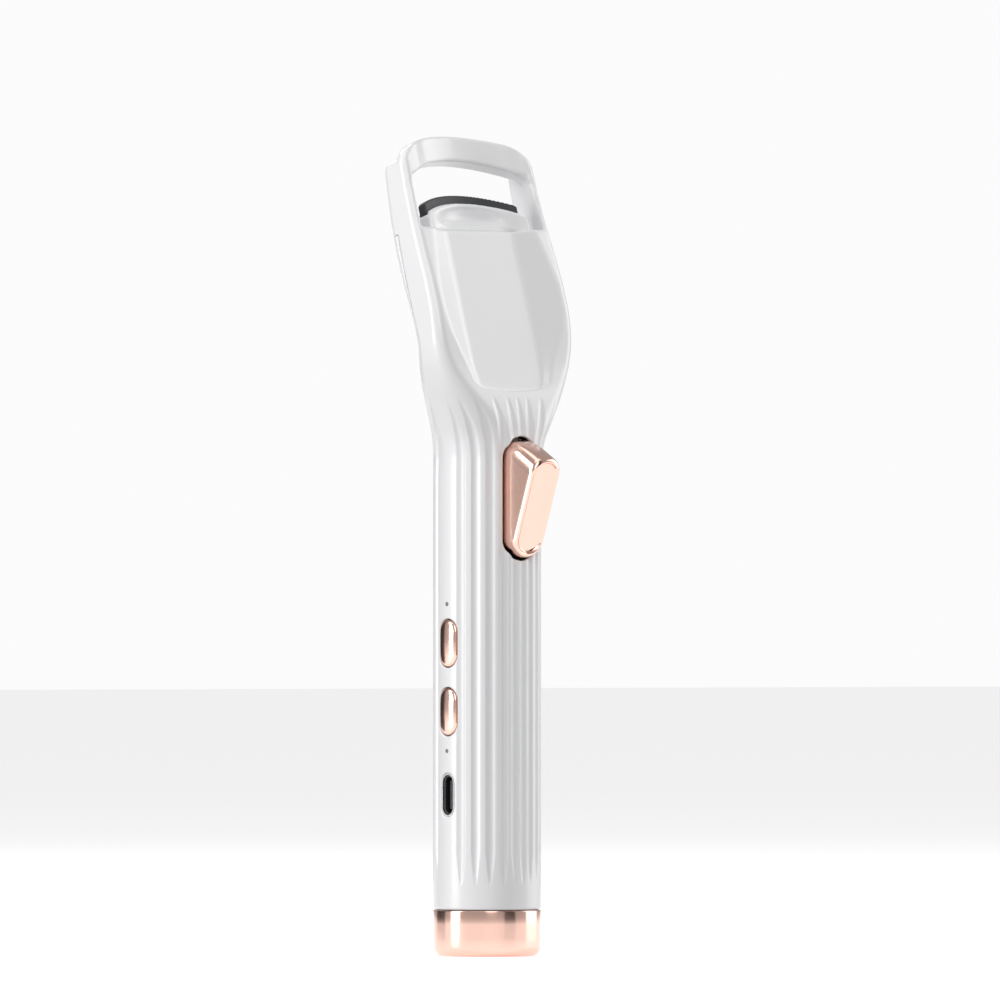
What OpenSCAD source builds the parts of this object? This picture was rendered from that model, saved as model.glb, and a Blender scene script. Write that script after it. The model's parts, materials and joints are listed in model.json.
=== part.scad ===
// Heated eyelash curler, rechargeable, with a trigger-driven lash pad.
// +Z runs up the handle from the base, -Y is the face side (trigger, panel),
// -X is the control side (buttons, lights, charging port).

/* [Handle] */
// Outside radius of the round handle
grip_r = 11.7; // [11.5:0.1:12]
// Wall thickness of the housing
wall = 1.6; // [1.4:0.1:1.7]
// Height of the metal base cap
cap_h = 10; // [8:0.5:12]
// Radius of the rounded rim under the base cap
cap_rim = 2; // [1:0.25:2.5]
// Number of flutes on each side of the front and back centre lines
flute_count = 5; // [3:1:5]
// Depth of a flute
flute_depth = 0.45; // [0.2:0.05:0.6]

/* [Head] */
// Angle by which the head leans back from the handle
head_lean = 17; // [16:0.5:18]
// Half width of the head at its shoulder
head_half_w = 20; // [19:0.25:20]
// Half width of the head at the crossbar
head_top_half_w = 18.9; // [18.5:0.1:19]
// Thickness of the two side arms, across the head
arm_t = 2.3; // [2:0.1:2.6]
// Half length of the heated lash strip
strip_half_w = 13.5; // [12:0.5:14]
// Gap between the open strip and the crossbar, along the head
jaw_gap = 7.5; // [7.4:0.05:7.7]

/* [Trigger] */
// Width of the trigger
trigger_w = 9.2; // [9:0.1:10.5]
// Turn of the trigger from rest to fully pressed
trigger_turn = 16; // [14:0.5:16]
// Stroke of the lash pad along the head
stroke = 7.3; // [7.2:0.05:7.3]

/* [Controls] */
// Height of the power button's centre
power_z = 67.8; // [66:0.1:69]
// Height of the mode button's centre
mode_z = 53; // [52:0.1:54]
// Length of a button
button_l = 10.2; // [9:0.1:10.4]
// Width of a button
button_w = 5.2; // [4.5:0.1:5.4]
// Height of the charging port's centre
port_z = 35; // [34:0.1:36]

/* [Hidden] */
$fn = 96;
small_fn = 32;
in_r = grip_r - wall;
seam = 0.15;
shell_z0 = cap_h + seam;
neck_z = 112;
big = 60;

// Head frame: origin on the head's middle plane at the shoulder
head_y = -2.6;
head_z = 132;
panel_top = 26;
head_back = 2.9;
neck_half = head_half_w - 1.35;
blend = 0.04;
rail_front_low = 4.6;
rail_front_top = 2.9;
panel_front = 2.75;
slide_gap = 1.55;
crest = 48.33;
crest_r = 40;
window_half = head_top_half_w - arm_t;
bow_r = 28;
bow_mid = 3;
arch_r = 30;
bar_deep = 4.6;
strip_top = 35.4;
strip_h = 2.4;
strip_deep = 2.6;
strip_low = strip_top - strip_h;
arch_s = strip_top - arch_r;
bar_low = strip_top + jaw_gap;
heater_t = 0.7;
heater_low = strip_low - heater_t;

// Carriage plate in the head, and its lap joint with the pad holder
plate_t = 2.4;
plate_half = 11.2;
lap_low = 18;
lap_top = 26.5;
lap_screw_x = [-8.5, 8.5];
lap_screw_s = 21;

// Trigger linkage, side view: [y, z]
pivot = [-6, 88.5];
pin_r = 0.75;
run_gap = 0.05;
drive_r = 0.9;
drive_arm = 22;
trigger_r = 23.8;
base_low = 85.9;
cheek_in = 3.4;
drive = [pivot[0], pivot[1] + drive_arm];
lift = [stroke * sin(head_lean), stroke * cos(head_lean)];
drive_end = [pivot[0] + drive_arm * sin(trigger_turn), pivot[1] + drive_arm * cos(trigger_turn)];
slot_end = drive_end - lift;
slot_half = drive_r + 0.2;
slot_shift = [0.05, 0.03];

// Controls
board_x = -5.9;
board_t = 1;
board_face = board_x - board_t;
button_face = -12;
button_in = -8.6;
flange_t = 0.6;
flange_lip = 0.65;
led_z = [76.3, 44.5];
lens_r = 0.5;
port_l = 9.34;
port_w = 3.9;
post_z = [27.6, 60.4];
screw_r = 0.65;

white = "whitesmoke";
rose = "#d9a08c";
steel = "silver";
dark = "#26262a";

// ---- helpers ---------------------------------------------------------------

// Points of an arc about c, from angle a0 to a1
function arc(c, r, a0, a1, n = 16) =
    [for (i = [0:n]) let (a = a0 + (a1 - a0) * i / n) c + r * [cos(a), sin(a)]];

// Places its children in the head's own frame: z up the head, y to its back
module in_head() {
    translate([0, head_y, head_z]) rotate([-head_lean, 0, 0]) children();
}

// A side-view outline [y, z], given thickness along X and centred
module side_plate(t) {
    rotate([90, 0, 90]) translate([0, 0, -t / 2]) linear_extrude(t) children();
}

// A front-view outline [x, z], run from y0 to y1
module front_plate(y0, y1) {
    translate([0, y1, 0]) rotate([90, 0, 0]) linear_extrude(y1 - y0) children();
}

// A long hole or button outline with round ends, length along y
module stadium(l, w) {
    square([w, l - w], center = true);
    for (s = [-1, 1]) translate([0, s * (l - w) / 2]) circle(d = w);
}

// A stadium prism on the control side, from x0 to x1
module side_stadium(z, l, w, x0, x1) {
    translate([x0, 0, z]) rotate([90, 0, 90]) linear_extrude(x1 - x0) stadium(l, w);
}

// A tall wall that bows to the back in plan, as the eye does
module bowed_wall(deep) {
    translate([0, bow_mid - bow_r, 0]) linear_extrude(big) difference() {
        circle(r = bow_r + deep / 2);
        circle(r = bow_r - deep / 2);
    }
}

// A bar cut from the bowed wall, arched upwards as the lid is.
// low and high are its heights at the middle, on arcs about one centre.
module jaw_bar(low, high, deep, half_w) {
    intersection() {
        bowed_wall(deep);
        front_plate(-big / 2, big / 2) translate([0, arch_s]) difference() {
            circle(r = high - arch_s);
            circle(r = low - arch_s);
        }
        translate([-half_w, -big / 2, 0]) cube([2 * half_w, big, big]);
    }
}

// A screw along +X with its head at the origin side
module small_screw(l, head_r) {
    rotate([0, 90, 0]) {
        cylinder(r = screw_r, h = l);
        difference() {
            translate([0, 0, l]) cylinder(r = head_r, h = 0.7);
            translate([-0.6, -0.15, l + 0.4]) cube([1.2, 0.3, 0.4]);
            translate([-0.15, -0.6, l + 0.4]) cube([0.3, 1.2, 0.4]);
        }
    }
}

// ---- housing ---------------------------------------------------------------

// Face outline of the head, arched along its top
module head_face() {
    corner_r = 3;
    corner = [head_top_half_w - corner_r, crest - 6.4];
    right = concat(
        [[head_half_w - 1.2, -2], [head_half_w, 3], [head_half_w, 12]],
        [[head_half_w - 0.35, 22], [head_top_half_w + 0.25, 32]],
        arc(corner, corner_r, 0, 75, 6));
    left = [for (i = [len(right) - 1:-1:0]) [-right[i][0], right[i][1]]];
    intersection() {
        polygon(concat(right, [[0, crest + 3]], left));
        translate([0, crest - crest_r]) circle(r = crest_r);
    }
}

// Side outline of the head: deeper at the shoulder than at the crossbar
module head_side() {
    polygon([[head_back, -2], [head_back, crest + 1], [-rail_front_top, crest + 1],
        [-rail_front_low, 8], [-rail_front_low + 0.6, -2]]);
}

// The handle's flutes, cut as shallow rounded grooves
module flutes() {
    groove_r = 1.25;
    step_power = 1.2;
    widest = 71;
    for (back = [0, 180], i = [-flute_count:flute_count]) {
        turn = back + sign(i) * widest * pow(abs(i) / 5, step_power);
        rotate([0, 0, turn]) translate([0, -grip_r - groove_r + flute_depth, 16]) {
            cylinder(r = groove_r, h = 103, $fn = small_fn);
        }
    }
}

// Outside of the whole housing, solid
module housing_outer() {
    difference() {
        union() {
            translate([0, 0, shell_z0]) cylinder(r = grip_r, h = neck_z - shell_z0);
            hull() {
                translate([0, 0, neck_z - 0.8]) cylinder(r = grip_r - blend, h = 0.5, $fn = 64);
                in_head() translate([-neck_half, -rail_front_low + 0.7, -1.6]) {
                    cube([2 * neck_half, rail_front_low - 0.7 + head_back - blend, 1.6]);
                }
            }
            in_head() intersection() {
                front_plate(-big / 2, big / 2) head_face();
                side_plate(big) head_side();
            }
        }
        flutes();
    }
}

// The space inside the housing
module housing_inner() {
    inner_half = 13;
    translate([0, 0, shell_z0 - 1]) cylinder(r = in_r, h = neck_z - shell_z0 + 1);
    hull() {
        translate([0, 0, neck_z - 0.9]) cylinder(r = in_r - blend, h = 0.5, $fn = 64);
        in_head() translate([blend - inner_half, blend - slide_gap, -2.6]) {
            cube([2 * (inner_half - blend), 2 * (slide_gap - blend), 3]);
        }
    }
    in_head() translate([-inner_half, -slide_gap, -1]) cube([2 * inner_half, 2 * slide_gap, panel_top + 2]);
}

// The recess of the front panel between the two raised rails, with slanted walls
module panel_recess() {
    floor_half = 12.6;
    lip_half = 16.4;
    low = 1;
    depth = 4;
    in_head() translate([0, 0, low]) linear_extrude(panel_top) {
        polygon([[-floor_half, -panel_front], [floor_half, -panel_front], [lip_half, -panel_front - depth],
            [-lip_half, -panel_front - depth]]);
    }
}

// The window between the arms, above the panel's top edge
module lash_window() {
    in_head() front_plate(-big / 2, big / 2) polygon([[-window_half - 0.4, panel_top],
        [window_half + 0.4, panel_top], [window_half, crest - 6], [window_half, crest + 4],
        [-window_half, crest + 4], [-window_half, crest - 6]]);
}

// Everything behind the parting line that belongs to the rear cover
module rear_zone() {
    part_y = 7.8;
    s = head_lean;
    part_s = slide_gap - 0.12;
    foot = [head_y + part_s * cos(s), head_z - part_s * sin(s)];
    top = foot + (panel_top + 0.1) * [sin(s), cos(s)];
    side_plate(big) polygon([[part_y, 0], [part_y, 110], foot, top, top + [20, -20 * tan(s)], [40, 0]]);
}

// The wall of the housing before it is parted
module housing_wall() {
    difference() {
        housing_outer();
        housing_inner();
        panel_recess();
        lash_window();
    }
}

// Ears inside the front wall that hold the trigger's hinge pin
module hinge_ears() {
    ear_t = 1.5;
    intersection() {
        for (s = [-1, 1]) translate([s * (trigger_w / 2 + 0.3 + ear_t / 2), 0, 0]) side_plate(ear_t) {
            polygon([[-grip_r, 84], [pivot[0], 86.6], [pivot[0] + 1.6, 87.5], [pivot[0] + 1.6, 89.5],
                [pivot[0], 90.4], [-grip_r, 93]]);
        }
        cylinder(r = grip_r - 0.7, h = 100);
    }
}

// Posts on the control side that the circuit board is screwed to
module board_posts() {
    for (z = post_z) translate([board_face, 0, z]) rotate([0, -90, 0]) difference() {
        cylinder(r = 1.5, h = 3.5, $fn = small_fn);
        translate([0, 0, -0.1]) cylinder(r = screw_r, h = 2.6, $fn = small_fn);
    }
}

// Openings on the control side: buttons, charging port and indicators
module control_openings() {
    from = -14;
    to = -8;
    gap = 0.25;
    for (z = [power_z, mode_z]) side_stadium(z, button_l + 2 * gap, button_w + 2 * gap, from, to);
    side_stadium(port_z, port_l, port_w, from, to);
    for (z = led_z) translate([from, 0, z]) rotate([0, 90, 0]) {
        cylinder(r = lens_r, h = to - from, $fn = small_fn);
    }
}

// Opening in the face side that the trigger moves through
module trigger_opening() {
    low = base_low - 0.3;
    high = pivot[1] + trigger_r + 0.35;
    front_plate(-big / 2, -8) translate([0, (low + high) / 2]) stadium(high - low, trigger_w + 0.5);
}

module front_shell() {
    color(white) {
        difference() {
            union() {
                difference() {
                    housing_wall();
                    rear_zone();
                }
                hinge_ears();
            }
            trigger_opening();
            control_openings();
            // hinge pin bore
            translate([-7.3, pivot[0], pivot[1]]) rotate([0, 90, 0]) {
                cylinder(r = pin_r, h = 14.6, $fn = small_fn);
            }
        }
        board_posts();
    }
}

// The crossbar that the strip closes against, bowed to follow the eye
module crossbar() {
    bar_front = 3.2;
    color(white) in_head() intersection() {
        bowed_wall(bar_deep);
        front_plate(-bar_front, big / 2) difference() {
            head_face();
            translate([0, bar_low - arch_r]) circle(r = arch_r);
        }
        translate([-window_half, -big / 2, 0]) cube([2 * window_half, big, big]);
    }
}

module rear_cover() {
    color(white) intersection() {
        housing_wall();
        rear_zone();
    }
}

module end_plug() {
    ring_r = grip_r - 0.85;
    color("gainsboro") difference() {
        union() {
            translate([0, 0, 1.3]) cylinder(r = ring_r, h = cap_h - 1.3);
            translate([0, 0, cap_h - 0.1]) cylinder(r = in_r - 0.02, h = 3.6);
        }
        translate([0, 0, 2.6]) cylinder(r = in_r - 1.4, h = 20);
    }
}

module base_cap() {
    cup_t = 0.8;
    inner = grip_r - cup_t;
    color(rose) rotate_extrude() polygon(concat(
        [[0, 0]],
        arc([grip_r - cap_rim, cap_rim], cap_rim, -90, 0, 12),
        [[grip_r, cap_h - 0.15], [grip_r - 0.15, cap_h], [inner, cap_h], [inner, 1.2], [0, 1.2]]));
}

// ---- electronics -----------------------------------------------------------

module battery() {
    battery_r = 6;
    bottom = 14;
    length = 44;
    color("steelblue") translate([2.2, 0, bottom]) {
        cylinder(r = battery_r, h = length);
        translate([0, 0, length]) cylinder(r = 2.2, h = 1, $fn = small_fn);
    }
}

module circuit_board() {
    board_w = 11;
    bottom = 25.2;
    top = 80;
    color("seagreen") difference() {
        translate([board_face, -board_w / 2, bottom]) cube([board_t, board_w, top - bottom]);
        for (z = post_z) translate([board_face - 1, 0, z]) rotate([0, 90, 0]) {
            cylinder(r = screw_r, h = 3, $fn = small_fn);
        }
    }
}

module board_screws() {
    reach = 2.2;
    color(steel) for (z = post_z) translate([board_face - reach, 0, z]) {
        small_screw(reach + board_t, 1.2, $fn = small_fn);
    }
}

module control_chips() {
    color(dark) {
        translate([board_x, -2, 46]) cube([1, 4, 4]);
        translate([board_x, -1.5, 36]) cube([1.1, 3, 3]);
        translate([board_x, 2, 70]) cube([0.9, 2.4, 3.2]);
        translate([board_x, -4, 69.5]) cube([1.3, 3.2, 3.2]);
    }
}

module tact_switches() {
    switch_w = 3.4;
    color(steel) for (z = [power_z, mode_z]) {
        translate([board_face - 0.8, -switch_w / 2, z - switch_w / 2]) cube([0.8, switch_w, switch_w]);
        translate([board_face - 1.1, 0, z]) rotate([0, 90, 0]) cylinder(r = 0.9, h = 0.4, $fn = small_fn);
    }
}

module indicator_leds() {
    color("gold") for (z = led_z) translate([board_face - 0.6, -0.4, z - 0.8]) cube([0.6, 0.8, 1.6]);
}

module indicator_lenses() {
    color("lightgray") for (z = led_z) translate([-grip_r + 0.02, 0, z]) rotate([0, 90, 0]) {
        cylinder(r = lens_r, h = 3.6, $fn = small_fn);
    }
}

module usb_c_shell() {
    shell_l = port_l - 0.04;
    shell_w = port_w - 0.04;
    metal = 0.3;
    mouth = -grip_r + 0.25;
    color(steel) difference() {
        side_stadium(port_z, shell_l, shell_w, mouth, board_face);
        side_stadium(port_z, shell_l - 2 * metal, shell_w - 2 * metal, mouth - 1, board_face - 0.8);
    }
}

module usb_c_tongue() {
    color(dark) translate([-grip_r + 1.1, -0.35, port_z - 3.3]) {
        cube([grip_r - 1.1 + board_face - 0.8, 0.7, 6.6]);
    }
}

// Two leads from the battery's top end, across to the board
module battery_leads() {
    lead_r = 0.45;
    run = 6.5;
    color("firebrick") for (s = [-1, 1]) {
        translate([board_x, s * 1.4, 62.6]) rotate([0, 90, 0]) cylinder(r = lead_r, h = run, $fn = small_fn);
        translate([board_x + run - lead_r, s * 1.4, 59]) {
            cylinder(r = lead_r, h = 3.6, $fn = small_fn);
        }
    }
}

// ---- controls --------------------------------------------------------------

// A push button: a crowned cap with a wider flange inside the wall
module button(z) {
    crown_r = 13.5;
    flange_l = button_l + 2 * flange_lip;
    flange_w = button_w + 2 * flange_lip;
    flange_x = button_in - flange_t;
    color(rose) intersection() {
        union() {
            side_stadium(z, button_l, button_w, button_face - 1, flange_x + 0.01);
            side_stadium(z, flange_l, flange_w, flange_x, button_in);
        }
        translate([button_face + crown_r, 0, z]) rotate([90, 0, 0]) {
            cylinder(r = crown_r, h = 20, center = true);
        }
    }
}

module power_button() button(power_z);

module mode_button() button(mode_z);

// ---- trigger ---------------------------------------------------------------

// Angle of a side-view point about the pivot
function about_pivot(p) = atan2(p[1] - pivot[1], p[0] - pivot[0]);

// Side outline of the wedge that stands out of the handle
module wedge_side() {
    tip = [-19.9, 107.8];
    polygon(concat(
        [[-7.2, base_low], [-11.9, base_low], [-13.2, 87.4], [-13.8, 89.3]],
        arc(pivot, trigger_r, about_pivot(tip), 94, 12),
        [[-7.2, 110]]));
}

// Side outline of the cheeks inside the handle that carry both pins
module cheek_side() {
    back = pivot[0] + 1.8;
    polygon(concat(
        [[-7.9, 92.5], [-7, 90], [-6.9, 87.3], [back, 87.3]],
        [[back, 91], [-6.6, 94], [-6.6, 106.5], [back, 109]],
        arc(pivot, trigger_r, 85.7, 94.6, 6)));
}

// Hollow of the trigger, open to the inside of the handle
module trigger_hollow() {
    polygon(concat(
        [[0, 84], [-9.8, 87], [-11.4, 90], [-17.3, 105]],
        arc(pivot, trigger_r - 1.4, 118.5, 80, 12),
        [[0, 108]]));
}

module trigger() {
    mid_z = (base_low + pivot[1] + trigger_r) / 2;
    web_gap = 1.9;
    color(rose) difference() {
        union() {
            intersection() {
                side_plate(trigger_w + 1) wedge_side();
                front_plate(-big / 2, 0) translate([0, mid_z]) {
                    stadium(pivot[1] + trigger_r - base_low, trigger_w);
                }
                // its top corners stay round about the pivot as it turns
                translate([0, pivot[0], pivot[1]]) rotate([0, 90, 0]) rotate_extrude() {
                    end_r = trigger_w / 2;
                    translate([0, -end_r]) square([trigger_r - end_r, 2 * end_r]);
                    intersection() {
                        translate([trigger_r - end_r, 0]) circle(r = end_r);
                        translate([0, -end_r]) square([big, 2 * end_r]);
                    }
                }
            }
            side_plate(trigger_w) cheek_side();
        }
        side_plate(2 * cheek_in) trigger_hollow();
        // room for the carriage's web
        translate([-web_gap, -11.3, 106]) cube([2 * web_gap, 20, 12]);
        // shallow dish in the thumb face
        dish_r = 55;
        dish_in = 0.8;
        face_y = -17;
        face_z = 98.6;
        face_lean = 18;
        translate([0, face_y, face_z]) rotate([face_lean, 0, 0]) {
            translate([0, -dish_r - 0.3 + dish_in, 0]) rotate([0, 90, 0]) {
                cylinder(r = dish_r, h = trigger_w - 2.4, center = true, $fn = 180);
            }
        }
        for (p = [pivot, drive], r = [p == pivot ? pin_r + run_gap : drive_r]) {
            translate([0, p[0], p[1]]) rotate([0, 90, 0]) {
                cylinder(r = r, h = trigger_w + 2, center = true, $fn = small_fn);
            }
        }
    }
}

module trigger_hinge_pin() {
    pin_l = 2 * (trigger_w / 2 + 0.3 + 1.5);
    color(steel) translate([0, pivot[0], pivot[1]]) rotate([0, 90, 0]) {
        cylinder(r = pin_r, h = pin_l, center = true, $fn = small_fn);
    }
}

module trigger_drive_pin() {
    color(steel) translate([0, drive[0], drive[1]]) rotate([0, 90, 0]) {
        cylinder(r = drive_r, h = trigger_w - 0.4, center = true, $fn = small_fn);
    }
}

// Torsion spring round the hinge pin, with a leg to the wall below and one to the trigger
module trigger_spring() {
    wire = 0.3;
    coil_r = 1.35;
    coils = 5;
    pitch = 2 * wire + 0.02;
    color(steel) translate([0, pivot[0], pivot[1]]) {
        for (i = [0:coils - 1]) translate([(i - (coils - 1) / 2) * pitch, 0, 0]) rotate([0, 90, 0]) {
            rotate_extrude() translate([coil_r, 0]) circle(r = wire, $fn = 20);
        }
        translate([(coils - 1) / 2 * pitch, coil_r, -7]) cylinder(r = 0.9 * wire, h = 7, $fn = 20);
    }
}

// ---- moving jaw ------------------------------------------------------------

// Side outline of the web that the drive pin's slanted slot is cut in
module web_side() {
    polygon([[-8.35, 110.9], [-7.9, 116], [-7.2, 119.5], [-3.6, 120.5], [-3.7, 112.4], [0.2, 103.6],
        [0.1, 101.4], [-2.2, 100.2], [-4.4, 101.3], [-8.2, 109]]);
}

module drive_slot() {
    along = slot_end - drive;
    run = norm(along);
    translate(slot_shift) {
        for (p = [drive, slot_end]) translate(p) circle(r = slot_half, $fn = small_fn);
        translate(drive) rotate(atan2(along[1], along[0])) {
            translate([0, -slot_half]) square([run, 2 * slot_half]);
        }
    }
}

module carriage() {
    web_t = 3;
    color("white") {
        side_plate(web_t) difference() {
            web_side();
            drive_slot();
        }
        in_head() difference() {
            union() {
                translate([-4.5, -plate_t / 2, -13.5]) cube([9, plate_t, 10]);
                translate([-plate_half, -plate_t / 2, -4]) cube([2 * plate_half, plate_t, lap_top + 4]);
            }
            // light hole, half lap for the holder and the screws' seats
            translate([-5.5, -plate_t, 2]) cube([11, 2 * plate_t, 12]);
            translate([-big / 2, 0, lap_low]) cube([big, plate_t, lap_top]);
            for (x = lap_screw_x) translate([x, 0, lap_screw_s]) rotate([90, 0, 0]) {
                cylinder(r = screw_r, h = plate_t, center = true, $fn = small_fn);
                translate([0, 0, plate_t / 2 - 0.5]) cylinder(r = 1.2, h = 1, $fn = small_fn);
            }
        }
    }
}

// The white shroud that carries the heater and the strip, and its tongue into the housing
module pad_holder() {
    rim_h = 1.1;
    holder_deep = 4.6;
    half = strip_half_w + 0.9;
    neck_low = panel_top + 0.5;
    tongue_low = lap_low + 0.05;
    shelf_top = 28.2;
    color(white) in_head() {
        difference() {
            intersection() {
                bowed_wall(holder_deep);
                front_plate(-big / 2, big / 2) translate([0, arch_s]) circle(r = strip_low + rim_h - arch_s);
                translate([-half, -big / 2, neck_low]) cube([2 * half, big, big]);
            }
            jaw_bar(heater_low, strip_top, strip_deep, strip_half_w);
            sensor_block(0.02);
        }
        translate([-plate_half, 0, lap_top]) cube([2 * plate_half, 4, shelf_top - lap_top]);
        difference() {
            translate([-plate_half, 0, tongue_low]) {
                cube([2 * plate_half, plate_t / 2, lap_top + 0.05 - tongue_low]);
            }
            for (x = lap_screw_x) translate([x, 0, lap_screw_s]) rotate([90, 0, 0]) {
                cylinder(r = screw_r, h = 2 * plate_t, center = true, $fn = small_fn);
            }
        }
    }
}

// The two screws that hold the shroud to the carriage
module holder_screws() {
    head_t = 0.45;
    color(steel) in_head() for (x = lap_screw_x) {
        translate([x, -plate_t / 2, lap_screw_s]) rotate([-90, 0, 0]) {
            cylinder(r = screw_r, h = plate_t, $fn = small_fn);
            cylinder(r = 1.15, h = head_t, $fn = small_fn);
        }
    }
}

// Space of the temperature sensor under the heater, grown by a fit
module sensor_block(fit = 0) {
    translate([-1 - fit, bow_mid - 0.6 - fit, heater_low - 1.05]) {
        cube([2 + 2 * fit, 1.2 + 2 * fit, 1]);
    }
}

module heater_plate() {
    color("peru") in_head() {
        jaw_bar(heater_low, strip_low, strip_deep, strip_half_w);
    }
}

module lash_strip() {
    color(dark) in_head() jaw_bar(strip_low, strip_top, strip_deep, strip_half_w);
}

module temperature_sensor() {
    color("tan") in_head() sensor_block();
}

// Flat flexible lead that runs down the back of the carriage from the heater
module heater_leads() {
    lead_t = 0.2;
    color("orange") in_head() translate([-2, plate_t / 2, -10]) cube([4, lead_t, 34]);
}

front_shell();
crossbar();
rear_cover();
end_plug();
base_cap();
battery();
circuit_board();
board_screws();
control_chips();
tact_switches();
indicator_leds();
indicator_lenses();
usb_c_shell();
usb_c_tongue();
battery_leads();
power_button();
mode_button();
trigger();
trigger_hinge_pin();
trigger_drive_pin();
trigger_spring();
carriage();
pad_holder();
holder_screws();
heater_plate();
lash_strip();
temperature_sensor();
heater_leads();
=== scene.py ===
import json
import math

import bpy
import numpy as np
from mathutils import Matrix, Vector


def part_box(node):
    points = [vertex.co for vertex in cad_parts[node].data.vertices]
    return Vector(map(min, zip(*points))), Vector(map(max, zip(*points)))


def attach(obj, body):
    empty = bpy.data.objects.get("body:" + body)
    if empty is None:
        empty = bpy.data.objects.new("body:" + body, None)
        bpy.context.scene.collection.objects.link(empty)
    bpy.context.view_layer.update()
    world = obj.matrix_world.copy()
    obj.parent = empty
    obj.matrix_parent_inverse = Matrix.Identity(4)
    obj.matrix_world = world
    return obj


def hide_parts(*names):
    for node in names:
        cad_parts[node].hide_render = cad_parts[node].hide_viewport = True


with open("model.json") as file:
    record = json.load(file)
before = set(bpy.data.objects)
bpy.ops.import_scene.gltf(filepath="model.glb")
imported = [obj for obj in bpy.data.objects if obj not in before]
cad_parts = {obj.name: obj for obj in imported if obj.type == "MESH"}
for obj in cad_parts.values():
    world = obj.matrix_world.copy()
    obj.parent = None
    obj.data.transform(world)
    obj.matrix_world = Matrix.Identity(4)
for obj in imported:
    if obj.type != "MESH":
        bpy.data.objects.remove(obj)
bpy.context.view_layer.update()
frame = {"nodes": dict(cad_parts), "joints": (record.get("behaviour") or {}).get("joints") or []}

# Shapes are worked out in millimetres, in the part's own frame, and stored in metres.
MM = 0.001


def node_mm(name):
    """A CAD node's lowest and highest corners, in millimetres."""
    lo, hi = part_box(name)
    return np.array(lo) / MM, np.array(hi) / MM


# ---- places read from the frame -------------------------------------------------

cap_hi = node_mm("base_cap")[1]
shell_lo, shell_hi = node_mm("front_shell")
bar_hi = node_mm("crossbar")[1]
trigger_lo, trigger_hi = node_mm("trigger")
power_lo, power_hi = node_mm("power_button")
mode_lo, mode_hi = node_mm("mode_button")
port_lo, port_hi = node_mm("usb_c_shell")
lens_lo, lens_hi = node_mm("indicator_lenses")
pin_lo, pin_hi = node_mm("trigger_hinge_pin")

GRIP_R = cap_hi[0]
SHELL_Z = shell_lo[2]
HEAD_W = shell_hi[0]
TOP_Z = max(shell_hi[2], bar_hi[2])
SLIDE = next(j for j in frame["joints"] if j["name"] == "jaw_slide")
LEAN_SIN, LEAN_COS = SLIDE["axis"][1], SLIDE["axis"][2]
PIVOT_Y = (pin_lo[1] + pin_hi[1]) / 2
PIVOT_Z = (pin_lo[2] + pin_hi[2]) / 2

# Head frame: origin on the head's middle plane at the shoulder
HEAD_Y = -2.6
HEAD_Z = 132.0
PANEL_TOP = 26.0
WALL = 1.5


def add_object(name, data):
    """Puts an object that holds this data into the scene."""
    made = bpy.data.objects.new(name, data)
    bpy.context.scene.collection.objects.link(made)
    return made


# ---- distance fields --------------------------------------------------------------

def smooth_max(a, b, k):
    h = np.maximum(k - np.abs(a - b), 0) / k
    return np.maximum(a, b) + h * h * k * 0.25


def smooth_min(a, b, k):
    return -smooth_max(-a, -b, k)


def carve(solid, tool, k):
    """The solid less the tool, with an edge rounded by k."""
    return smooth_max(solid, -tool, k)


def rounded_rect(u, v, half_u, half_v, r):
    du = np.abs(u) - half_u + r
    dv = np.abs(v) - half_v + r
    outside = np.sqrt(np.maximum(du, 0) ** 2 + np.maximum(dv, 0) ** 2)
    return outside + np.minimum(np.maximum(du, dv), 0) - r


def stadium(u, v, half_l, half_w):
    """A long round-ended outline with its length along v."""
    dv = np.maximum(np.abs(v) - (half_l - half_w), 0)
    return np.sqrt(u * u + dv * dv) - half_w


def to_head(y, z):
    """Depth behind the head's middle plane, and height up the head."""
    dy, dz = y - HEAD_Y, z - HEAD_Z
    return dy * LEAN_COS - dz * LEAN_SIN, dy * LEAN_SIN + dz * LEAN_COS


class Profile:
    """A smooth curve of a size against height, through given stations."""

    def __init__(self, heights, values, blur=5.0):
        self.z = np.arange(-20.0, 220.0, 0.25)
        line = np.interp(self.z, heights, values)
        window = np.hanning(int(blur / 0.25) | 1)
        pad = len(window) // 2
        self.v = np.convolve(np.pad(line, pad, "edge"), window / window.sum(), "valid")

    def __call__(self, z):
        return np.interp(z, self.z, self.v)


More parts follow.
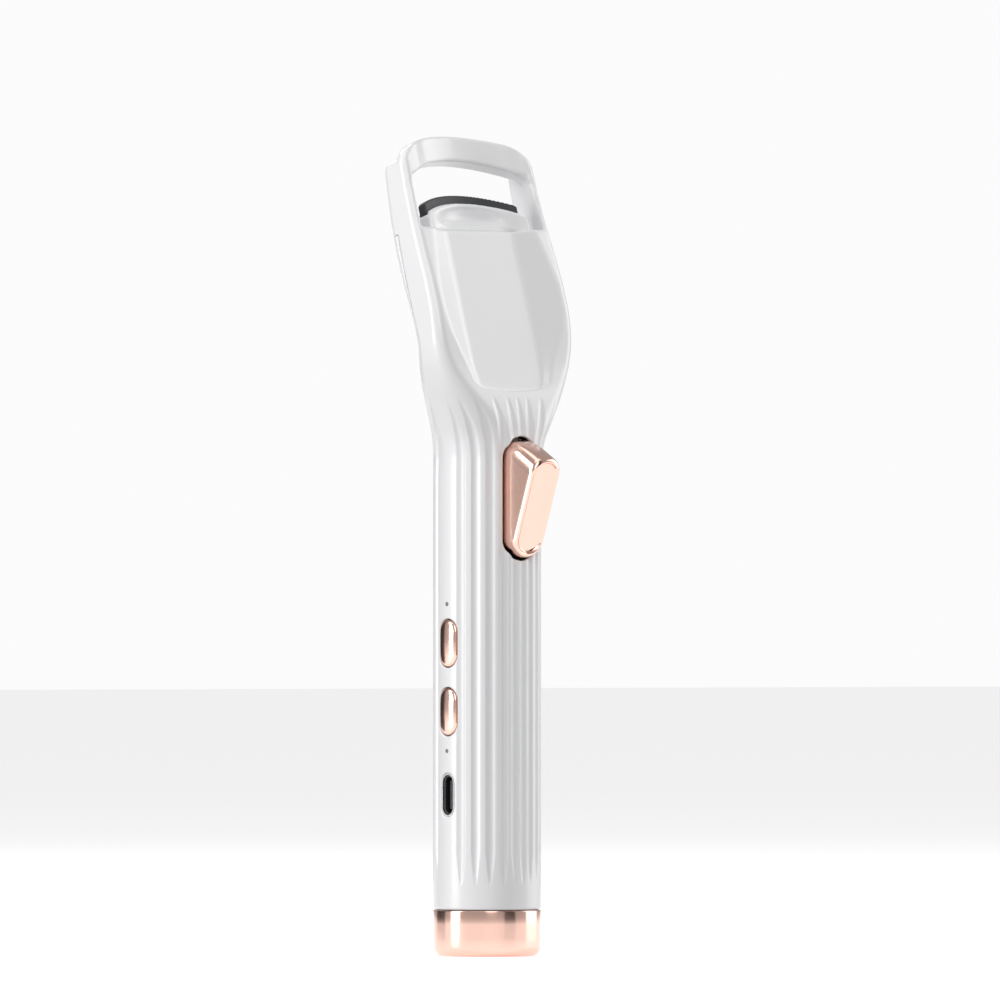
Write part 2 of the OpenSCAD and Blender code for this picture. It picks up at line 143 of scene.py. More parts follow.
def mesh_field(name, field, lo, hi, step):
    """Meshes the zero surface of a field by surface nets, then pulls the points onto it."""
    axes = [np.arange(a, b + step, step) for a, b in zip(lo, hi)]
    grid = np.meshgrid(*axes, indexing="ij")
    f = field(*grid).astype(np.float32)
    del grid
    inside = f < 0
    shape = np.array(f.shape) - 1
    total = np.zeros(tuple(shape), np.uint8)
    corners = [(i, j, k) for i in (0, 1) for j in (0, 1) for k in (0, 1)]

    def part(a, c):
        return a[c[0]:c[0] + shape[0], c[1]:c[1] + shape[1], c[2]:c[2] + shape[2]]

    for c in corners:
        total += part(inside, c)
    cells = np.argwhere((total > 0) & (total < 8))
    index = np.full(tuple(shape), -1, np.int64)
    index[tuple(cells.T)] = np.arange(len(cells))
    place = np.zeros((len(cells), 3))
    hits = np.zeros(len(cells))
    for axis in range(3):
        for c in [c for c in corners if c[axis] == 0]:
            a = f[tuple((cells + c).T)]
            end = np.array(c)
            end[axis] = 1
            b = f[tuple((cells + end).T)]
            cross = (a < 0) != (b < 0)
            t = np.where(cross, a / np.where(cross, a - b, 1), 0)
            point = np.array(c, float)[None, :].repeat(len(cells), 0)
            point[:, axis] = t
            place += point * cross[:, None]
            hits += cross
    verts = np.array([a[0] for a in axes]) + (cells + place / hits[:, None]) * step
    start = verts.copy()
    eps = 0.02
    for _ in range(3):
        value = field(*verts.T)
        slope = np.stack([(field(*(verts + eps * e).T) - field(*(verts - eps * e).T)) / (2 * eps)
                          for e in np.eye(3)], 1)
        steepness = np.maximum((slope ** 2).sum(1), 0.05)
        verts -= (value / steepness)[:, None] * slope
        verts = start + np.clip(verts - start, -0.6 * step, 0.6 * step)
    faces = []
    for axis in range(3):
        u, v = (axis + 1) % 3, (axis + 2) % 3
        a = np.take(inside, range(0, f.shape[axis] - 1), axis)
        b = np.take(inside, range(1, f.shape[axis]), axis)
        edges = np.argwhere(a != b)
        keep = (edges[:, u] > 0) & (edges[:, v] > 0) & (edges[:, u] < shape[u]) & (edges[:, v] < shape[v])
        edges = edges[keep]
        around = []
        for du, dv in ((0, 0), (-1, 0), (-1, -1), (0, -1)):
            e = edges.copy()
            e[:, u] += du
            e[:, v] += dv
            around.append(index[tuple(e.T)])
        quad = np.stack(around, 1)
        outward = a[tuple(edges.T)]
        quad[~outward] = quad[~outward][:, ::-1]
        faces.append(quad)
    faces = np.concatenate(faces)
    mesh = bpy.data.meshes.new(name)
    mesh.vertices.add(len(verts))
    mesh.vertices.foreach_set("co", (verts * MM).ravel())
    mesh.loops.add(faces.size)
    mesh.loops.foreach_set("vertex_index", faces.ravel().astype(np.int32))
    mesh.polygons.add(len(faces))
    mesh.polygons.foreach_set("loop_start", np.arange(0, faces.size, 4, dtype=np.int32))
    mesh.polygons.foreach_set("use_smooth", np.ones(len(faces), bool))
    mesh.update(calc_edges=True)
    mesh.validate()
    return add_object(name, mesh)


# ---- materials ----------------------------------------------------------------------

def material(name, color, rough, metal=0.0, coat=0.0, grain=400.0, bump=0.02, vary=0.04, stretch=(1, 1, 1)):
    """A procedural surface: uneven colour, uneven roughness and a fine relief."""
    mat = bpy.data.materials.new(name)
    mat.use_nodes = True
    nodes, links = mat.node_tree.nodes, mat.node_tree.links
    shader = nodes["Principled BSDF"]
    shader.inputs["Metallic"].default_value = metal
    shader.inputs["Coat Weight"].default_value = coat
    shader.inputs["Coat Roughness"].default_value = 0.12
    where = nodes.new("ShaderNodeTexCoord")
    fit = nodes.new("ShaderNodeMapping")
    fit.inputs["Scale"].default_value = stretch
    links.new(where.outputs["Object"], fit.inputs["Vector"])
    cloud = nodes.new("ShaderNodeTexNoise")
    cloud.inputs["Scale"].default_value = 60.0
    cloud.inputs["Detail"].default_value = 4.0
    fine = nodes.new("ShaderNodeTexNoise")
    fine.inputs["Scale"].default_value = grain
    fine.inputs["Detail"].default_value = 6.0
    for tex in (cloud, fine):
        links.new(fit.outputs["Vector"], tex.inputs["Vector"])
    tint = nodes.new("ShaderNodeValToRGB")
    for stop, side in zip(tint.color_ramp.elements, (1 - vary, 1 + vary)):
        stop.color = [min(1.0, c * side) for c in color] + [1.0]
    tint.color_ramp.elements[0].position = 0.3
    tint.color_ramp.elements[1].position = 0.7
    links.new(cloud.outputs["Fac"], tint.inputs["Fac"])
    links.new(tint.outputs["Color"], shader.inputs["Base Color"])
    gloss = nodes.new("ShaderNodeMapRange")
    gloss.inputs["To Min"].default_value = rough * 0.85
    gloss.inputs["To Max"].default_value = rough * 1.15
    links.new(fine.outputs["Fac"], gloss.inputs["Value"])
    links.new(gloss.outputs["Result"], shader.inputs["Roughness"])
    relief = nodes.new("ShaderNodeBump")
    relief.inputs["Strength"].default_value = bump
    relief.inputs["Distance"].default_value = 0.0002
    links.new(fine.outputs["Fac"], relief.inputs["Height"])
    links.new(relief.outputs["Normal"], shader.inputs["Normal"])
    return mat


white = material("white_plastic", (0.80, 0.80, 0.81), 0.30, coat=0.35, grain=900, bump=0.012, vary=0.008)
white_inner = material("white_inner_plastic", (0.74, 0.74, 0.73), 0.45, grain=700, bump=0.03, vary=0.015)
rose = material("rose_gold", (0.84, 0.55, 0.46), 0.15, metal=1.0, grain=500, bump=0.012, vary=0.03)
silicone = material("black_silicone", (0.035, 0.036, 0.04), 0.55, grain=1500, bump=0.08, vary=0.12)
black = material("black_moulding", (0.012, 0.012, 0.014), 0.40, grain=900, bump=0.05, vary=0.1)
steel = material("ground_steel", (0.62, 0.62, 0.63), 0.28, metal=1.0, grain=800, bump=0.05, stretch=(1, 1, 8))
lens = material("indicator_lens", (0.13, 0.13, 0.14), 0.22, coat=0.6, grain=600, bump=0.01)
sleeve = material("battery_sleeve", (0.05, 0.22, 0.42), 0.35, coat=0.2, grain=300, bump=0.03)
solder_mask = material("solder_mask", (0.02, 0.16, 0.07), 0.35, coat=0.3, grain=1200, bump=0.06, vary=0.1)
lead_sleeve = material("lead_insulation", (0.42, 0.03, 0.03), 0.5, grain=500, bump=0.03)
anodised = material("anodised_plate", (0.55, 0.55, 0.56), 0.38, metal=1.0, grain=1200, bump=0.04)
film = material("amber_film", (0.55, 0.26, 0.05), 0.25, coat=0.4, grain=900, bump=0.02)

cad_materials = {
    "end_plug": white_inner, "battery": sleeve, "circuit_board": solder_mask, "board_screws": steel,
    "control_chips": black, "tact_switches": steel, "indicator_leds": lens, "usb_c_shell": steel,
    "battery_leads": lead_sleeve, "trigger_hinge_pin": steel, "trigger_drive_pin": steel,
    "trigger_spring": steel, "carriage": white_inner, "holder_screws": steel, "heater_plate": anodised,
    "temperature_sensor": black, "heater_leads": film,
}


def dress(name, mat):
    """Gives a carried-over CAD node its material."""
    data = frame["nodes"][name].data
    data.materials.clear()
    data.materials.append(mat)


for node_name, node_material in cad_materials.items():
    dress(node_name, node_material)


def finish_piece(piece, body, slot, mat, *nodes):
    piece.data.materials.append(mat)
    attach(piece, body)
    if nodes:
        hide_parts(*nodes)
    return piece


# ---- housing --------------------------------------------------------------------------

stations = [104, 108, 112, 116, 120, 124, 128, 132, 136, 140, 146, 152, 160, 170, 178]
half_width = Profile(stations, [
    GRIP_R, GRIP_R, 12.3, 13.7, 15.5, 17.4, 18.9, 19.75, 19.98, 19.98, 19.95, 19.85, 19.5, 19.1, 18.9])
front_y = Profile(stations, [
    -GRIP_R, -GRIP_R, -11.65, -11.2, -10.1, -8.7, -7.6, -7.0, -6.5, -5.7, -3.8, -1.4, 1.8, 5.2, 7.7])
back_y = Profile(stations, [
    GRIP_R, 11.5, 10.5, 8.8, 6.7, 4.7, 2.9, 1.8, 2.4, 3.9, 6.2, 8.3, 10.7, 12.9, 15.0])
corner = Profile(stations, [
    GRIP_R, 11.5, 10.6, 8.6, 6.4, 4.6, 3.3, 2.6, 2.3, 2.1, 2.0, 1.9, 1.8, 1.7, 1.7])
part_y = Profile([0, 106, 118, 126, 132, 140, 157], [7.8, 7.8, 4.6, 1.5, 0.0, 2.2, 7.4])
recess_out = Profile([118, 122, 126, 130, 134.5, 157, 178], [9.6, 11.2, 13.3, 14.9, 15.6, 16.0, 16.2])
recess_in = Profile([118, 122, 126, 130, 134.5, 157, 178], [7.6, 8.6, 9.7, 10.0, 10.1, 9.9, 9.8])
FLUTE_COUNT = 5
FLUTE_WIDEST = 71.0
FLUTE_POWER = 1.2
FLUTE_DEPTH = 0.5
FLUTE_LOW = 15.4
FLUTE_HIGH = 121.0
FLUTE_HALF_DEG = 5.0
FLUTE_POINT = 7.0
ARM_T = 1.75


def flute_depth(x, y, z, w, mid, depth):
    """How deep the flutes cut at a point: pointed at both ends, fanning out on the neck."""
    around = np.abs(np.degrees(np.arctan2(x / w, -(y - mid) / depth)))
    around = np.minimum(around, 180 - around)
    reach = np.minimum(z - FLUTE_LOW, FLUTE_HIGH - z)
    taper = np.clip(reach / FLUTE_POINT, 0, 1)
    half = FLUTE_HALF_DEG * (0.25 + 0.75 * taper)
    cut = np.zeros_like(x)
    for i in range(FLUTE_COUNT + 1):
        centre = FLUTE_WIDEST * (i / FLUTE_COUNT) ** FLUTE_POWER
        cut = np.maximum(cut, 1 - ((around - centre) / half) ** 2)
    return FLUTE_DEPTH * cut * taper ** 0.7


def body_outer(x, y, z):
    """The handle, neck and head as one lofted form, solid."""
    w, lo, hi = half_width(z), front_y(z), back_y(z)
    mid, depth = (lo + hi) / 2, (hi - lo) / 2
    r = np.minimum(corner(z), depth - 0.05)
    return rounded_rect(x, y - mid, w, depth, np.minimum(r, w))


# The panel's floor, back from the head's middle plane, the rails' height above it, and how far
# the recess runs down below the shoulder
PANEL_FLOOR = -2.35
RAIL_DEPTH = 2.3
PANEL_FOOT = 11.5


def recess(x, y, z):
    """The front panel's recess: a flat floor between two slanted rail walls."""
    back, up = to_head(y, z)
    inner, outer = recess_in(z), recess_out(z)
    slope = (outer - inner) / RAIL_DEPTH
    wall = (np.abs(x) - inner - (PANEL_FLOOR - back) * slope) / np.sqrt(1 + slope * slope)
    foot = -(up + PANEL_FOOT + 0.35 * (back - PANEL_FLOOR) - 0.012 * x * x)
    return smooth_max(smooth_max(back - PANEL_FLOOR, wall, 0.35), foot, 1.2)


BOW_R, BOW_MID, ARCH_R, CREST_R = 28.0, 3.0, 30.0, 34.0
STRIP_TOP, JAW_GAP = 35.4, 7.5
BAR_LOW = STRIP_TOP + JAW_GAP
BAR_DEEP = 4.4
ARM_FRONT = -3.3


def bow(x):
    return BOW_MID - BOW_R + np.sqrt(np.maximum(BOW_R ** 2 - x * x, 1))


def sag(x, r):
    return r - np.sqrt(np.maximum(r * r - x * x, 1))


# The bar's front edge is its highest, so the crest is set from there
crest_probe = bow(np.zeros(1))[0] - BAR_DEEP / 2
CREST = (TOP_Z + 0.3 - HEAD_Z + crest_probe * LEAN_SIN) / LEAN_COS
ARM_TOP = CREST - 5.8


def crossbar_field(x, back, up):
    """The bar that the strip closes against, bowed back and arched up, flush with the arms in front."""
    low = BAR_LOW - sag(x, ARCH_R)
    high = CREST - sag(x, CREST_R)
    middle, half = (low + high) / 2, (high - low) / 2
    section = rounded_rect(back - bow(x), up - middle, BAR_DEEP / 2, half, 0.7)
    section = smooth_max(section, ARM_FRONT - back, 1.6)
    return smooth_max(section, np.abs(x) - half_width(HEAD_Z + up * LEAN_COS) + 0.3, 2.4)


def head_window(x, up):
    """The space between the arms above the panel's top edge."""
    half = half_width(HEAD_Z + up * LEAN_COS) - ARM_T
    return smooth_max(np.abs(x) - half, PANEL_TOP - up, 0.8)


def housing_solid(x, y, z):
    back, up = to_head(y, z)
    w, lo, hi = half_width(z), front_y(z), back_y(z)
    form = body_outer(x, y, z)
    form = form + flute_depth(x, y, z, w, (lo + hi) / 2, (hi - lo) / 2)
    form = carve(form, recess(x, y, z), 0.3)
    form = smooth_max(form, up - ARM_TOP, 3.0)
    form = carve(form, head_window(x, up), 0.7)
    form = smooth_min(form, crossbar_field(x, back, up), 1.2)
    return smooth_max(form, SHELL_Z - z, 0.35)


MOUTH_HALF_W = 13.0
MOUTH_HALF_DEEP = 1.5
MOUTH_HALF_H = 5
ROOM_TOP = PANEL_TOP - 7


def housing_inside(x, y, z):
    """The hollow in the housing, with the mouth that the jaw slides through."""
    back, up = to_head(y, z)
    room = body_outer(x, y, z) + WALL
    room = np.maximum(room, 0.75 - recess(x, y, z))
    mouth = np.maximum(np.abs(x) - MOUTH_HALF_W, np.abs(back + 0.1) - MOUTH_HALF_DEEP)
    mouth = np.maximum(mouth, np.abs(up - PANEL_TOP + 3) - MOUTH_HALF_H)
    room = np.maximum(room, up - ROOM_TOP)
    return smooth_min(room, mouth, 0.5)


def side_hole(x, y, z, lo, hi, gap):
    """A long hole on the control side, round the node whose box is given."""
    mid_z, half_l = (lo[2] + hi[2]) / 2, (hi[2] - lo[2]) / 2
    return np.maximum(stadium(y, z - mid_z, half_l + gap, (hi[1] - lo[1]) / 2 + gap), x + 8.0)


FLANGE_LIP = 0.65
TRIGGER_GAP = 0.25
TRIGGER_HALF_W = trigger_hi[0] - 0.3


def housing_shell(x, y, z):
    form = np.maximum(housing_solid(x, y, z), -housing_inside(x, y, z))
    trigger_mid = (trigger_lo[2] + trigger_hi[2]) / 2
    trigger_half = (trigger_hi[2] - trigger_lo[2]) / 2
    slot = stadium(x, z - trigger_mid, trigger_half + TRIGGER_GAP, TRIGGER_HALF_W + TRIGGER_GAP)
    form = carve(form, np.maximum(slot, y + 7.5), 0.35)
    for lo, hi in ((power_lo, power_hi), (mode_lo, mode_hi)):
        form = carve(form, side_hole(x, y, z, lo, hi, 0.22 - FLANGE_LIP), 0.3)
    return carve(form, side_hole(x, y, z, port_lo, port_hi, 0.06), 0.25)


SEAM = 0.07


def rear_zone(y, z):
    """Inside for the rear cover's share of the housing."""
    up = to_head(y, z)[1]
    return smooth_max(part_y(z) - y, up - PANEL_TOP + 0.02, 0.3)


def front_field(x, y, z):
    return smooth_max(housing_shell(x, y, z), SEAM - rear_zone(y, z), 0.22)


def rear_field(x, y, z):
    return smooth_max(housing_shell(x, y, z), rear_zone(y, z) + SEAM, 0.22)


def build_housing(step):
    margin = 1.0
    lo = np.array([-HEAD_W, -GRIP_R, SHELL_Z]) - margin
    hi = np.array([HEAD_W, bar_hi[1], TOP_Z]) + margin
    front = mesh_field("front_housing", front_field, lo, hi, step)
    finish_piece(front, "housing", "white_shell", white, "front_shell", "crossbar")
    hi[2] = HEAD_Z + PANEL_TOP + margin
    lo[1] = -3.0
    rear = mesh_field("rear_housing", rear_field, lo, hi, step)
    finish_piece(rear, "housing", "white_shell", white, "rear_cover")


# ---- base cap ----------------------------------------------------------------------------

def lathe(name, outline, turns=128):
    """A form turned about the handle's axis from an outline of radius and height."""
    verts = [(r * math.cos(a) * MM, r * math.sin(a) * MM, z * MM)
             for a in (2 * math.pi * i / turns for i in range(turns)) for r, z in outline]
    n = len(outline)
    faces = [(i * n + j, ((i + 1) % turns) * n + j, ((i + 1) % turns) * n + (j + 1) % n, i * n + (j + 1) % n)
             for i in range(turns) for j in range(n)]
    mesh = bpy.data.meshes.new(name)
    mesh.from_pydata(verts, [], faces)
    mesh.polygons.foreach_set("use_smooth", [True] * len(faces))
    return add_object(name, mesh)


def arc(cr, cz, r, a0, a1, n=10):
    """Points of an arc in an outline, from angle a0 to a1 in degrees."""
    angles = [math.radians(a0 + (a1 - a0) * i / n) for i in range(n + 1)]
    return [(cr + r * math.cos(a), cz + r * math.sin(a)) for a in angles]


def build_cap():
    rim, lip, floor_t, wall_t = 2.0, 0.25, 1.2, 0.8
    height = cap_hi[2]
    inner = GRIP_R - wall_t
    core = 0.01
    outline = [(core, 0.0), (GRIP_R - rim - 4, 0.0)]
    outline += arc(GRIP_R - rim, rim, rim, -90, 0, 16)
    outline += [(GRIP_R, height * f) for f in (0.4, 0.7)]
    outline += arc(GRIP_R - lip, height - lip, lip, 0, 90, 6)
    outline += [(inner, height), (inner, floor_t + 0.2), (core, floor_t)]
    finish_piece(lathe("base_cap_shell", outline), "housing", "rose_metal", rose, "base_cap")


# ---- trigger ------------------------------------------------------------------------------

FACE_LOW = (-13.5, 88.0)
FACE_TOP = (-20.5, 107.7)
TRIGGER_R = 23.8
HOLLOW_HALF = 3.4
# A point on the chin, which is the slant underneath, and how far it faces forwards and down
CHIN_AT = (-13.4, 86.0)
CHIN_FACING = (0.62, 0.78)
DRIVE_REACH = 22.0
HINGE_BORE_R = 0.82
DRIVE_BORE_R = 0.92
FACE_RIM = 0.8
# Middle and half length of the thumb face, measured up along it
FACE_MID = 9.4
FACE_HALF = 11.5


def trigger_field(x, y, z):
    """The wedge outside the wall and the cheeks inside it, hollow between them."""
    half_w = TRIGGER_HALF_W
    mid = (trigger_lo[2] + trigger_hi[2]) / 2
    half_l = (trigger_hi[2] - trigger_lo[2]) / 2
    run = np.array(FACE_TOP) - FACE_LOW
    run /= np.linalg.norm(run)
    face = (y - FACE_LOW[0]) * -run[1] + (z - FACE_LOW[1]) * run[0]
    along = (y - FACE_LOW[0]) * run[0] + (z - FACE_LOW[1]) * run[1]
    chin = (CHIN_AT[0] - y) * CHIN_FACING[0] - (z - CHIN_AT[1]) * CHIN_FACING[1]
    top = np.hypot(y - PIVOT_Y, z - PIVOT_Z) - TRIGGER_R
    reach = np.maximum(FACE_HALF - 0.2 * face, half_w)
    round_top = smooth_max(top, stadium(x, along - FACE_MID, reach, half_w), 1.0)
    wedge = smooth_max(smooth_max(face, chin, 1.6), round_top, 1.3)
    wedge = smooth_max(wedge, stadium(x, z - mid, half_l, half_w), 0.8)
    wedge = smooth_max(wedge, y + 8.2, 0.3)
    dish = stadium(x, along - FACE_MID, FACE_HALF - FACE_RIM - 0.4, half_w - FACE_RIM)
    dish = smooth_max(dish, -(face + 0.95 - 0.03 * x * x), 0.7)
    wedge = carve(wedge, dish, 0.4)
    cheek = np.maximum(np.abs(x) - half_w, -(y + 8.6))
    cheek = smooth_max(cheek, y - PIVOT_Y - 1.8, 0.4)
    cheek = np.maximum(cheek, np.maximum(top, 87.2 - z))
    waist = rounded_rect(y + 2.0, z - 100.2, 4.8, 7.0, 2.0)
    cheek = carve(cheek, waist, 0.4)
    form = np.minimum(wedge, cheek)
    hollow = np.maximum(np.abs(x) - HOLLOW_HALF, np.maximum(face + 2.1, top + 1.4))
    hollow = np.maximum(hollow, -chin - 1.2 - 3.0)
    notch = np.maximum(np.maximum(np.abs(x) - 1.9, -11.3 - y), 106.0 - z)
    form = np.maximum(form, -hollow)
    form = np.maximum(form, -notch)
    for pin_z, radius in ((PIVOT_Z, HINGE_BORE_R), (PIVOT_Z + DRIVE_REACH, DRIVE_BORE_R)):
        form = np.maximum(form, radius - np.hypot(y - PIVOT_Y, z - pin_z))
    return form


def build_trigger(step):
    piece = mesh_field("trigger_lever", trigger_field, trigger_lo - 0.8, trigger_hi + 0.8, step)
    finish_piece(piece, "trigger", "rose_metal", rose, "trigger")


# ---- buttons, port and lights ---------------------------------------------------------------

def button_field(lo, hi):
    mid_z = (lo[2] + hi[2]) / 2
    half_l = (hi[2] - lo[2]) / 2
    half_w = (hi[1] - lo[1]) / 2

    def field(x, y, z):
        crown = lo[0] + 0.055 * y * y + 0.010 * (z - mid_z) ** 2
        cap = smooth_max(stadium(y, z - mid_z, half_l - FLANGE_LIP, half_w - FLANGE_LIP), crown - x, 0.7)
        cap = np.maximum(cap, x - hi[0] + 0.3)
        flange = stadium(y, z - mid_z, half_l, half_w)
        flange = np.maximum(flange, np.maximum(hi[0] - 0.6 - x, x - hi[0]))
        return np.minimum(cap, flange)
    return field


def build_buttons(step):
    for name, lo, hi in (("power_button", power_lo, power_hi), ("mode_button", mode_lo, mode_hi)):
        piece = mesh_field(name + "_cap", button_field(lo, hi), lo - 0.5, hi + 0.5, step)
        finish_piece(piece, name, "rose_metal", rose, name)


def port_field(x, y, z):
    """The black insert: a floor, a liner and the tongue of the charging port."""
    mid_z = (port_lo[2] + port_hi[2]) / 2
    half_l = (port_hi[2] - port_lo[2]) / 2
    half_w = (port_hi[1] - port_lo[1]) / 2
    outer = stadium(y, z - mid_z, half_l - 0.32, half_w - 0.32)
    bore = stadium(y, z - mid_z, half_l - 0.75, half_w - 0.75)
    floor_x = port_hi[0] - 1.4
    cup = np.maximum(np.maximum(outer, port_lo[0] + 0.35 - x), x - floor_x - 0.5)
    cup = carve(cup, np.maximum(bore, x - floor_x), 0.15)
    tongue = rounded_rect(y, z - mid_z, 0.42, 3.2, 0.2)
    tongue = smooth_max(tongue, port_lo[0] + 0.9 - x, 0.3)
    tongue = np.maximum(tongue, x - floor_x - 0.2)
    return np.minimum(cup, tongue)


def build_port(step):
    piece = mesh_field("usb_c_insert", port_field, port_lo - 0.4, port_hi + 0.4, step)
    finish_piece(piece, "housing", "black_plastic", black, "usb_c_tongue")


LENS_TOP = -GRIP_R - 0.16
DOME_R = 1.0


def lens_field(x, y, z):
    """Two small round light pipes, their domes standing just proud of the wall."""
    r = (lens_hi[1] - lens_lo[1]) / 2
    form = np.full_like(x, 9.0)
    for centre in (lens_lo[2] + r, lens_hi[2] - r):
        rod = np.hypot(y, z - centre) - r
        dome = np.sqrt((x - LENS_TOP - DOME_R) ** 2 + y * y + (z - centre) ** 2) - DOME_R
        dome = np.where(x < LENS_TOP + 0.6, dome, -9.0)
        form = np.minimum(form, smooth_max(rod, dome, 0.1))
    return np.maximum(form, x - lens_hi[0])


def build_lenses(step):
    piece = mesh_field("indicator_light_pipes", lens_field, lens_lo - 0.5, lens_hi + 0.3, step)
    finish_piece(piece, "housing", "clear_lens", lens, "indicator_lenses")


# ---- moving jaw ---------------------------------------------------------------------------------

STRIP_HALF = 13.5
STRIP_H = 2.4
STRIP_DEEP = 2.6
STRIP_SKIRT = 0.4
RIB_PITCH = 0.9
RIB_HALF_H = 0.07
HOLDER_DEEP = 4.6
# The scoop in the holder's front: how much wider than tall, its middle, and how far its ball stands out
SCOOP_WIDE = 4.2
SCOOP_MID = 30.3
SCOOP_OUT = 3.5
SCOOP_R = 2.5


def holder_field(x, y, z):
    """The white shroud below the strip, scooped in front and narrowing into the housing."""
    back, up = to_head(y, z)
    rise = up + sag(x, ARCH_R)
    half = STRIP_HALF + 0.9
    seat = STRIP_TOP - STRIP_H
    depth = back - bow(x)
    crown = rounded_rect(depth, rise - (seat - 2.45), HOLDER_DEEP / 2, 2.15, 0.45)
    crown = smooth_max(crown, np.abs(x) - half, 0.6)
    blend = np.clip((up - PANEL_TOP) / 6.0, 0, 1)
    blend = blend * blend * (3 - 2 * blend)
    centre = blend * bow(x)
    apron = np.maximum(np.abs(back - centre) - (1.15 + 0.8 * blend), np.maximum(20.0 - up, rise - seat))
    apron = smooth_max(apron, np.abs(x) - (11.2 + 2.6 * blend), 0.6)
    form = smooth_min(crown, apron, 1.2)
    scoop = np.sqrt((x / SCOOP_WIDE) ** 2 + (rise - SCOOP_MID) ** 2 + (depth + SCOOP_OUT) ** 2) - SCOOP_R
    form = carve(form, scoop, 0.5)
    groove = np.maximum(np.abs(depth) - STRIP_DEEP / 2, seat - 0.7 - rise)
    return smooth_max(form, -np.maximum(groove, np.abs(x) - STRIP_HALF), 0.12)


def strip_field(x, y, z):
    """The heated strip, with a row of shallow cross ribs on its lash face."""
    back, up = to_head(y, z)
    rise = up + sag(x, ARCH_R)
    low, high = STRIP_TOP - STRIP_H - STRIP_SKIRT, STRIP_TOP
    form = rounded_rect(back - bow(x), rise - (low + high) / 2, STRIP_DEEP / 2 - 0.02, (high - low) / 2, 0.45)
    form = smooth_max(form, np.abs(x) - STRIP_HALF + 0.03, 0.5)
    ribs = RIB_HALF_H * (1 - np.cos(2 * math.pi * x / RIB_PITCH)) * np.clip((rise - high + 0.6) / 0.6, 0, 1)
    return form + ribs


def build_jaw(step):
    lo, hi = node_mm("pad_holder")
    piece = mesh_field("pad_shroud", holder_field, lo - 1.5, hi + 1.5, step)
    finish_piece(piece, "jaw", "white_shell", white, "pad_holder")
    lo, hi = node_mm("lash_strip")
    piece = mesh_field("heated_strip", strip_field, lo - 0.6, hi + 0.6, step * 0.8)
    finish_piece(piece, "jaw", "black_silicone", silicone, "lash_strip")


build_housing(0.28)
build_cap()
build_trigger(0.22)
build_buttons(0.14)
build_port(0.14)
build_lenses(0.08)
build_jaw(0.24)


# ---- floor, light and camera ------------------------------------------------------------------------

FLOOR_GLOW = 0.45
OBJECT_MIDDLE = Vector((0, 0, 0.09))


def build_floor():
    """A plain pale floor that runs far past the picture, glowing a little to stay near white."""
    reach = 12.0
    corners = [(-reach, -reach, 0), (reach, -reach, 0), (reach, reach, 0), (-reach, reach, 0)]
    mesh = bpy.data.meshes.new("studio_floor")
    mesh.from_pydata(corners, [], [(0, 1, 2, 3)])
    floor = add_object("studio_floor", mesh)
    pale = material("pale_floor", (0.93, 0.93, 0.93), 0.8, grain=120, bump=0.005, vary=0.01)
    shader = pale.node_tree.nodes["Principled BSDF"]
    shader.inputs["Emission Color"].default_value = (1, 1, 1, 1)
    shader.inputs["Emission Strength"].default_value = FLOOR_GLOW
    floor.data.materials.append(pale)
    floor.visible_diffuse = False


def dark_card(name, azimuth, distance, width, height):
    """A black card, hidden from the camera, which gives the gloss its dark bands."""
    a = math.radians(azimuth)
    middle = Vector((math.sin(a), -math.cos(a), 0)) * distance
    across = Vector((math.cos(a), math.sin(a), 0)) * width / 2
    rise = Vector((0, 0, height))
    verts = [middle - across, middle + across, middle + across + rise, middle - across + rise]
    mesh = bpy.data.meshes.new(name)
    mesh.from_pydata(verts, [], [(0, 1, 2, 3)])
    card = add_object(name, mesh)
    card.data.materials.append(black)
    card.visible_camera = False


def area_light(name, azimuth, elevation, distance, size, watts, tall=None):
    """A soft panel, hidden from the camera and aimed at the object's middle.

    Azimuth is measured like the camera's.
    """
    data = bpy.data.lights.new(name, "AREA")
    data.shape = "RECTANGLE"
    data.size, data.size_y = size, tall or size
    data.energy = watts
    lamp = add_object(name, data)
    a, e = math.radians(azimuth), math.radians(elevation)
    outward = Vector((math.sin(a) * math.cos(e), -math.cos(a) * math.cos(e), math.sin(e)))
    lamp.location = OBJECT_MIDDLE + distance * outward
    lamp.rotation_euler = (OBJECT_MIDDLE - lamp.location).to_track_quat("-Z", "Y").to_euler()
    lamp.visible_camera = False


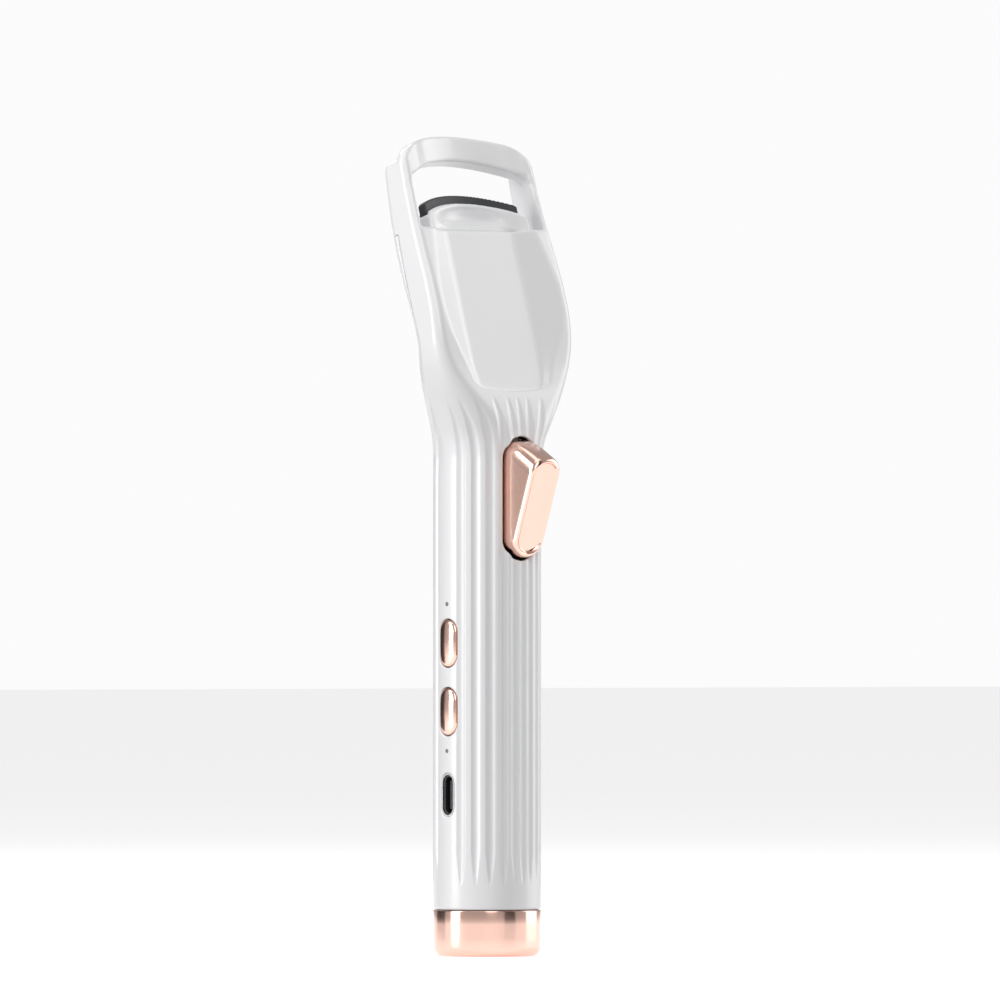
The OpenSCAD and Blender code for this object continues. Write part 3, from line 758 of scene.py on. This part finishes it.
# Degrees and metres; the azimuth is 0 in front of the object and turns towards +X
CAMERA_AZIMUTH = -42.0
SENSOR_MM = 36
CAMERA_DISTANCE = 2.766
CAMERA_HEIGHT = 0.068
FRAME_WIDTH = 0.217
AIM_HEIGHT = 0.0989
AIM_RIGHT = 0.0028


def build_camera():
    """A long lens a little below the object's middle, aimed just beside the handle's axis."""
    data = bpy.data.cameras.new("camera")
    data.sensor_width = SENSOR_MM
    data.lens = SENSOR_MM * CAMERA_DISTANCE / FRAME_WIDTH
    data.clip_start, data.clip_end = 0.05, 20
    camera = add_object("camera", data)
    a = math.radians(CAMERA_AZIMUTH)
    camera.location = (CAMERA_DISTANCE * math.sin(a), -CAMERA_DISTANCE * math.cos(a), CAMERA_HEIGHT)
    target = Vector((AIM_RIGHT * math.cos(a), AIM_RIGHT * math.sin(a), AIM_HEIGHT))
    camera.rotation_euler = (target - camera.location).to_track_quat("-Z", "Y").to_euler()
    bpy.context.scene.camera = camera


# The world's strength as light on the object, and as the camera sees it
AMBIENT = 0.45
BACKGROUND = 0.97


def build_world():
    """A white background, brighter to the camera than the light it throws on the object."""
    world = bpy.data.worlds.new("studio")
    world.use_nodes = True
    nodes, links = world.node_tree.nodes, world.node_tree.links
    glow = nodes["Background"]
    glow.inputs["Color"].default_value = (1, 1, 1, 1)
    ray = nodes.new("ShaderNodeLightPath")
    level = nodes.new("ShaderNodeMapRange")
    level.inputs["To Min"].default_value = AMBIENT
    level.inputs["To Max"].default_value = BACKGROUND
    links.new(ray.outputs["Is Camera Ray"], level.inputs["Value"])
    links.new(level.outputs["Result"], glow.inputs["Strength"])
    bpy.context.scene.world = world
    bpy.context.scene.view_settings.view_transform = "Standard"


build_world()
build_camera()
build_floor()
area_light("key", -32, 28, 1.3, 0.5, 5.0, tall=1.1)
area_light("right_panel", 70, 12, 1.0, 0.7, 5.2, tall=1.0)
area_light("left_strip", -114, 12, 0.9, 0.3, 6.5, tall=1.0)
area_light("top", -60, 78, 1.2, 0.8, 2.6)
area_light("back_panel", 165, 40, 1.2, 0.6, 2.2)
dark_card("card_front", 8, 0.75, 0.34, 0.9)
dark_card("card_left", -160, 0.42, 0.26, 0.8)
